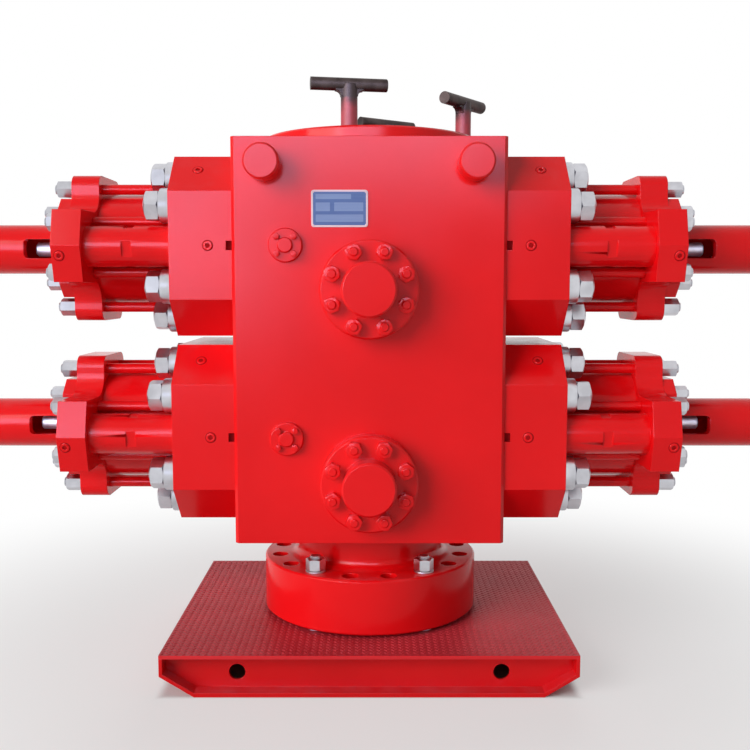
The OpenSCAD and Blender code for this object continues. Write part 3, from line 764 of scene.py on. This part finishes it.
def bonnet_stud_nuts():
    """Plated nuts on round collars, with the studs' tips, round each bonnet."""
    found = solids("bonnet_nuts")
    low, high = found[0]
    length = (high.x - low.x) / MM
    nut_top = length - BONNET_STUD_TIP
    r = BONNET_COLLAR_D / 2
    h = BONNET_COLLAR_HEIGHT
    collar = turned("collar", [
        (r - COLLAR_CHAMFER, 0), (r, COLLAR_CHAMFER), (r, h - COLLAR_SHOULDER),
        (r - COLLAR_SHOULDER_BOW, h - COLLAR_SHOULDER_BOW), (r - COLLAR_SHOULDER, h)])
    nut = hex_nut("nut", BONNET_NUT_FLATS, h, nut_top)
    stud = threaded_tip("stud", BONNET_STUD_D, BONNET_STUD_PITCH, nut_top - TIP_SINK, length)
    model = join("bonnet_nut", [collar, nut, stud])
    piece = copies("bonnet_stud_nuts", model, ram_end_places(found))
    return finish_piece(piece, "zinc_plate", ["bonnet_nuts"])


def end_nuts(name, node, stud_d):
    """Tall plated nuts with their studs' tips, outside the heads."""
    found = solids(node)
    low, high = found[0]
    size = (high - low) / MM
    nut_top = size.x - END_STUD_TIP
    nut = hex_nut("nut", min(size.y, size.z), 0, nut_top)
    stud = threaded_tip("stud", stud_d, END_STUD_PITCH, nut_top - TIP_SINK, size.x)
    piece = copies(name, join("end_nut", [nut, stud]), ram_end_places(found))
    return finish_piece(piece, "zinc_plate", [node])


def outlet_stud_nuts():
    """Painted nuts on the blind flanges' studs, each with a flat to its neighbours."""
    found = solids("outlet_nuts")
    length = (found[0][1].y - found[0][0].y) / MM
    nut_top = length - OUTLET_STUD_TIP
    nut = hex_nut("nut", OUTLET_NUT_FLATS, 0, nut_top, OUTLET_NUT_RIM_SHARE)
    stud = threaded_tip("stud", OUTLET_STUD_D, OUTLET_STUD_PITCH, nut_top - TIP_SINK,
                        nut_top + OUTLET_STUD_SHOWS)
    model = join("outlet_nut", [nut, stud])
    blinds = [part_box(name) for name in nodes if name.endswith("_blind")]
    levels = sorted({round((low.z + high.z) / 2, 4) for low, high in blinds})
    places = []
    for low, high in found:
        middle = (low + high) / 2
        rear = middle.y > 0
        axis = REAR if rear else FRONT
        level = min(levels, key=lambda z: abs(z - middle.z))
        radial = Vector((middle.x, 0, middle.z - level)).normalized()
        foot = Vector((middle.x, low.y if rear else high.y, middle.z))
        places.append(place(foot, axis, axis.cross(radial)))
    piece = copies("outlet_stud_nuts", model, places)
    finish_piece(piece, "red_enamel", ["outlet_nuts"])


def hold_down_studs():
    """Studs through the flange and the deck, with a nut above, between and below."""
    found = solids("hold_down_bolts")
    foot, tip = (corner.z / MM for corner in found[0])
    deck_low, deck_high = (corner.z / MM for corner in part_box("skid_deck"))
    flange_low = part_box("bottom_flange")[0].z / MM
    flange_high = flange_low + FLANGE_THICK
    washer_top = flange_high + HOLD_WASHER_THICK
    nut_top = washer_top + HOLD_NUT_HEIGHT
    washer_r = HOLD_WASHER_D / 2
    washer_rim_r = washer_r - HOLD_WASHER_CHAMFER
    shank_r = HOLD_BOLT_D / 2
    parts = [
        turned("washer", [(washer_rim_r, flange_high), (washer_r, flange_high + HOLD_WASHER_CHAMFER),
                          (washer_r, washer_top - HOLD_WASHER_CHAMFER), (washer_rim_r, washer_top)]),
        hex_nut("top_nut", HOLD_NUT_FLATS, washer_top, nut_top),
        hex_nut("middle_nut", HOLD_NUT_FLATS, deck_high, flange_low),
        hex_nut("lower_nut", HOLD_NUT_FLATS, deck_low - HOLD_NUT_BELOW, deck_low),
        turned("shank", [(shank_r - HOLD_BOLT_CHAMFER, foot), (shank_r, foot + HOLD_BOLT_CHAMFER),
                         (shank_r, nut_top)]),
        threaded_tip("tip", HOLD_BOLT_D, HOLD_BOLT_PITCH, nut_top - TIP_SINK, tip),
    ]
    model = join("hold_down", parts)
    places = []
    for low, high in found:
        middle = (low + high) / 2
        outward = Vector((middle.x, middle.y, 0)).normalized()
        places.append(place(Vector((middle.x, middle.y, 0)), UP, UP.cross(outward)))
    piece = copies("hold_down_studs", model, places)
    return finish_piece(piece, "zinc_plate", ["hold_down_bolts"])


# Opening tubes

TUBE_TURN = 9
TUBE_SMOOTH_ANGLE = 14


def opening_tubes():
    """The bonnet-opening tubes, screwed home so that their outer wrench flats stop a little below level."""
    tubes = loose_copies("opening_tubes")
    for tube in tubes:
        low, high = corners(tube)
        axis = (low + high) / 2
        turn = TUBE_TURN if axis.y < 0 else -TUBE_TURN
        tube.matrix_world = (Matrix.Translation(axis) @ Matrix.Rotation(math.radians(turn), 4, "X")
                             @ Matrix.Translation(-axis))
    apply_place(*tubes)
    piece = join("turned_opening_tubes", tubes)
    finish_piece(piece, "red_enamel", ["opening_tubes"], TUBE_SMOOTH_ANGLE)


# Plugs, painted shade in the pry slots and round the plugs, and screws in the painted pieces

PLUG_D = 26
PLUG_SINK = 4
PLUG_RISE = 2.2
PLUG_CHAMFER = 1.2
SOCKET_FLATS = 12
SOCKET_DEPTH = 3
SOCKET_CUT_ABOVE = 6
# Ring and disc of painted shade round and under each plug.
SEAT_GAP = 2.5
SEAT_SINK = 1
SEAT_RIM = 0.3
SEAT_RISE = 0.6
SEAT_CHAMFER = 0.5
BONNET_PLUG_FROM_BODY = 67
CHAMFER_PLUG_FROM_BODY = 101
CHAMFER_PLUG_RISE = 211
NOSE_PLUG_FROM_FACE = 59
NOSE_PLUG_DROP = 28
# Thickness and corner radius of the dark beds of painted shade in the pry slots.
SLOT_SHADE_THICK = 3
SLOT_SHADE_CORNER_R = 1
PORT_SCREWS = 4
PORT_SCREW_CIRCLE_R = 33
PORT_SCREW_FLATS = 17
PORT_SCREW_HEIGHT = 11
# Sizes of the solids that their boxes do not give.
BONNET_CORNER = 105
NOSE_HALF = 100
NOSE_SLOPE = 25
PRY_WIDTH = 17
PRY_HEIGHT = 25
PRY_DEPTH = 14
PORT_THICK = 15


def socket_plug():
    """Screwed plug, almost flush, with a hexagon socket."""
    r = PLUG_D / 2
    plug = turned("plug", [(r, -PLUG_SINK), (r, PLUG_RISE - PLUG_CHAMFER), (r - PLUG_CHAMFER, PLUG_RISE)],
                  SMALL_SEGMENTS)
    socket = hex_prism("socket", SOCKET_FLATS, -SOCKET_DEPTH, SOCKET_CUT_ABOVE)
    return cut(plug, socket, "DIFFERENCE")


def plug_gap_shade():
    """Disc of painted shade under a plug: a dark ring round it, and the dark floor of its socket."""
    r = PLUG_D / 2 + SEAT_GAP
    return turned("seat", [(r, -SEAT_SINK), (r, SEAT_RIM), (r - SEAT_CHAMFER, SEAT_RISE)], SMALL_SEGMENTS)


def inner_end(name):
    """Side of a ram end's piece (1 right, -1 left), the x of its face toward the body, and its level."""
    low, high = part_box(name)
    side = 1 if low.x > 0 else -1
    inner = low.x if side > 0 else high.x
    return side, inner, (low.z + high.z) / 2


def bonnet_plug_places(name):
    """On a bonnet, front and rear: the upright face's plug and the upper sloped corner's."""
    low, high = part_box(name)
    side, inner, level = inner_end(name)
    face_x = inner + side * BONNET_PLUG_FROM_BODY * MM
    slope_x = inner + side * CHAMFER_PLUG_FROM_BODY * MM
    rise = CHAMFER_PLUG_RISE * MM
    slope_foot = (high.z - low.z) / 2 - BONNET_CORNER * MM
    back = rise - slope_foot
    places = []
    for face, face_y in ((FRONT, low.y), (REAR, high.y)):
        slope_point = Vector((slope_x, face_y - face.y * back, level + rise))
        places.append(place(Vector((face_x, face_y, level)), face, RIGHT))
        places.append(place(slope_point, (face + UP).normalized(), RIGHT))
    return places


def nose_plug_places(name):
    """On a head, front and rear: the plug in the lower slope of its nose."""
    low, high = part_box(name)
    side, inner, level = inner_end(name)
    x = inner + side * NOSE_PLUG_FROM_FACE * MM
    back = NOSE_SLOPE * NOSE_PLUG_DROP / NOSE_HALF * MM
    places = []
    for face, face_y in ((FRONT, low.y), (REAR, high.y)):
        point = Vector((x, face_y - face.y * back, level - NOSE_PLUG_DROP * MM))
        slope = (face * NOSE_HALF - UP * NOSE_SLOPE).normalized()
        places.append(place(point, slope, RIGHT))
    return places


def bonnet_plugs():
    """Grease and test plugs of the bonnets and head noses, with painted shade round them and in their
    sockets.
    """
    places = []
    for name in nodes:
        if name.endswith("_bonnet"):
            places += bonnet_plug_places(name)
        elif name.endswith("_head"):
            places += nose_plug_places(name)
    finish_piece(copies("socket_plugs", socket_plug(), places), "red_enamel")
    finish_piece(copies("plug_gap_shades", plug_gap_shade(), places), "painted_plug_shade")


def pry_slot_shade():
    """Painted shade: dark beds in the bottoms of the pry slots at the bonnets' inner edges."""
    half_height = PRY_HEIGHT / 2 * MM
    beds = []
    for name in nodes:
        if not name.endswith("_bonnet"):
            continue
        low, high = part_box(name)
        side, inner, level = inner_end(name)
        outer = inner + side * PRY_WIDTH * MM
        for face_y, way in ((low.y, 1), (high.y, -1)):
            floor_y = face_y + way * PRY_DEPTH * MM
            top_y = floor_y - way * SLOT_SHADE_THICK * MM
            bed_low = Vector((min(inner, outer), min(floor_y, top_y), level - half_height))
            bed_high = Vector((max(inner, outer), max(floor_y, top_y), level + half_height))
            beds.append(rounded_plate("slot_shade_bed", bed_low, bed_high, SLOT_SHADE_CORNER_R))
    finish_piece(join("pry_slot_shade", beds), "painted_slot_shade")


def port_screws():
    """Painted hexagon screws on each small port flange."""
    screw = hex_nut("screw", PORT_SCREW_FLATS, 0, PORT_SCREW_HEIGHT)
    places = []
    for low, high in solids("port_flanges"):
        middle = (low + high) / 2
        seat_y = high.y - PORT_THICK * MM
        for index in range(PORT_SCREWS):
            angle = math.radians((index + 0.5) * 360 / PORT_SCREWS)
            radial = Vector((math.cos(angle), 0, math.sin(angle)))
            foot = Vector((middle.x, seat_y, middle.z)) + radial * PORT_SCREW_CIRCLE_R * MM
            places.append(place(foot, FRONT, FRONT.cross(radial)))
    finish_piece(copies("port_screws", screw, places), "red_enamel")


# Name plate

PLATE_CORNER_R = 7
PLATE_BORDER = 5
PLATE_SINK = 0.8
FIELD_CORNER_R = 4
FIELD_LIP = 0.2
BOX_CORNER_R = 1.5
BOX_SINK = 0.1
# Left, bottom, right and top of each blank box, as shares of the field.
PLATE_BOXES = ((0.05, 0.78, 0.72, 0.93), (0.05, 0.42, 0.32, 0.68),
               (0.40, 0.42, 0.95, 0.68), (0.05, 0.10, 0.95, 0.32))
# Radius and height of the points of a drive rivet's domed head.
RIVET_HEAD = ((3.2, -1), (3.2, 0.4), (2.6, 1.2), (1.4, 1.7))
RIVET_SEGMENTS = 20
RIVET_INSET = 5
RIVET_SINK = 0.2


def name_plate():
    """Blank data plate: pale rim, sunk blue field, empty boxes and drive rivets."""
    low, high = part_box("name_plate")
    rim = rounded_plate("plate_rim", low, high, PLATE_CORNER_R)
    bpy.ops.object.mode_set(mode="EDIT")
    select_faces(rim, lambda normal: normal.y < -FACING_SHARE)
    bpy.ops.mesh.inset(thickness=PLATE_BORDER * MM)
    bpy.ops.mesh.extrude_region_move(TRANSFORM_OT_translate={"value": (0, PLATE_SINK * MM, 0)})
    bpy.ops.object.mode_set(mode="OBJECT")
    finish_piece(rim, "plate_edge", ["name_plate"])

    margin = Vector((PLATE_BORDER * MM, 0, PLATE_BORDER * MM))
    field_low = low + margin + Vector((0, FIELD_LIP * MM, 0))
    field_high = high - margin
    field_high.y = low.y + PLATE_SINK * MM + FIELD_LIP * MM
    field = rounded_plate("plate_field", field_low, field_high, FIELD_CORNER_R)
    finish_piece(field, "blue_plate")

    width = field_high.x - field_low.x
    height = field_high.z - field_low.z
    boxes = []
    for left, bottom, right, top in PLATE_BOXES:
        box_low = Vector((field_low.x + left * width, low.y, field_low.z + bottom * height))
        box_high = Vector((field_low.x + right * width, field_low.y + BOX_SINK * MM,
                           field_low.z + top * height))
        boxes.append(rounded_plate("blank_box", box_low, box_high, BOX_CORNER_R))
    finish_piece(join("plate_boxes", boxes), "blank_boxes")

    rivet = turned("rivet", RIVET_HEAD, RIVET_SEGMENTS)
    inset = RIVET_INSET * MM
    places = [place(Vector((x, low.y + RIVET_SINK * MM, z)), FRONT, RIGHT)
              for x in (low.x + inset, high.x - inset) for z in (low.z + inset, high.z - inset)]
    finish_piece(copies("plate_rivets", rivet, places), "plate_edge")


# Deck

LUG_LENGTH = 15
LUG_WIDTH = 5
LUG_HEIGHT = 1.5
LUG_SINK = 0.3
LUG_SIDES = 6
LUG_TOP_SHARES = (0.7, 0.45, 1)
LUG_TURN = 45
LUG_PITCH = 20
LUG_EDGE_GAP = 3
LUG_SEAT_CLEAR = 14
LUG_BOLT_CLEAR = 40


def lug_pair():
    """Two lens-shaped lugs side by side, one turned left and one right."""
    pair = []
    for way in (-1, 1):
        clear_selection()
        bpy.ops.mesh.primitive_cylinder_add(vertices=LUG_SIDES, radius=0.5, depth=1)
        lug = bpy.context.object
        lug.scale = (LUG_LENGTH * MM, LUG_WIDTH * MM, (LUG_HEIGHT + LUG_SINK) * MM)
        apply_place(lug)
        bpy.ops.object.mode_set(mode="EDIT")
        select_faces(lug, lambda normal: normal.z > FACING_SHARE)
        bpy.ops.transform.resize(value=LUG_TOP_SHARES)
        bpy.ops.object.mode_set(mode="OBJECT")
        shift = way * LUG_PITCH / 4 * MM
        lug.rotation_euler = (0, 0, math.radians(-way * LUG_TURN))
        lug.location = (shift, shift, 0)
        apply_place(lug)
        pair.append(lug)
    return join("deck_lugs", pair)


def clear_lugs(lugs):
    """Deletes each whole lug that has a corner near the seat ring or a hold-down stud."""
    seat_low, seat_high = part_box("seat_ring")
    seat_r = (seat_high.x - seat_low.x) / 2 + LUG_SEAT_CLEAR * MM
    bolts = [(low + high) / 2 for low, high in solids("hold_down_bolts")]
    select_only([lugs])
    bpy.ops.object.mode_set(mode="EDIT")
    bpy.ops.mesh.select_mode(type="VERT")
    bpy.ops.mesh.select_all(action="DESELECT")
    mesh = bmesh.from_edit_mesh(lugs.data)
    for vertex in mesh.verts:
        near_seat = vertex.co.xy.length < seat_r
        near_bolt = any((vertex.co.xy - bolt.xy).length < LUG_BOLT_CLEAR * MM for bolt in bolts)
        vertex.select_set(near_seat or near_bolt)
    mesh.select_flush_mode()
    bmesh.update_edit_mesh(lugs.data)
    bpy.ops.mesh.select_linked()
    bpy.ops.mesh.delete(type="VERT")
    bpy.ops.object.mode_set(mode="OBJECT")


def deck_lugs():
    """Raised lugs of the chequered plate, whole ones up to its edges."""
    low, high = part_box("skid_deck")
    lugs = lug_pair()
    spans = [side - 2 * LUG_EDGE_GAP * MM for side in (high.x - low.x, high.y - low.y)]
    counts = [round(span / (LUG_PITCH * MM)) for span in spans]
    steps = [span / count for span, count in zip(spans, counts)]
    for name, count, offset in (("across", counts[0], (steps[0], 0, 0)),
                                ("deep", counts[1], (0, steps[1], 0))):
        array = lugs.modifiers.new(name, "ARRAY")
        array.count = count
        array.use_relative_offset = False
        array.use_constant_offset = True
        array.constant_offset_displace = offset
    apply_modifiers(lugs)
    lugs.location = (-(counts[0] - 1) / 2 * steps[0], -(counts[1] - 1) / 2 * steps[1],
                     high.z + (LUG_HEIGHT - LUG_SINK) / 2 * MM)
    apply_place(lugs)
    clear_lugs(lugs)
    finish_piece(lugs, "deck_paint")


bpy.context.scene.view_settings.view_transform = "Standard"
make_camera()
strong_lamps = make_lights()
make_world()
make_floor()
dress_cad_nodes()
bright_metal = [
    bonnet_stud_nuts(),
    end_nuts("tie_rod_nuts", "tie_nuts", TIE_ROD_D),
    end_nuts("lock_flange_nuts", "lock_nuts", LOCK_STUD_D),
    hold_down_studs(),
    *(nodes[name] for name in nodes if name.endswith("_lock")),
]
keep_off_bare_metal(strong_lamps, bright_metal)
outlet_stud_nuts()
opening_tubes()
bonnet_plugs()
pry_slot_shade()
port_screws()
name_plate()
deck_lugs()
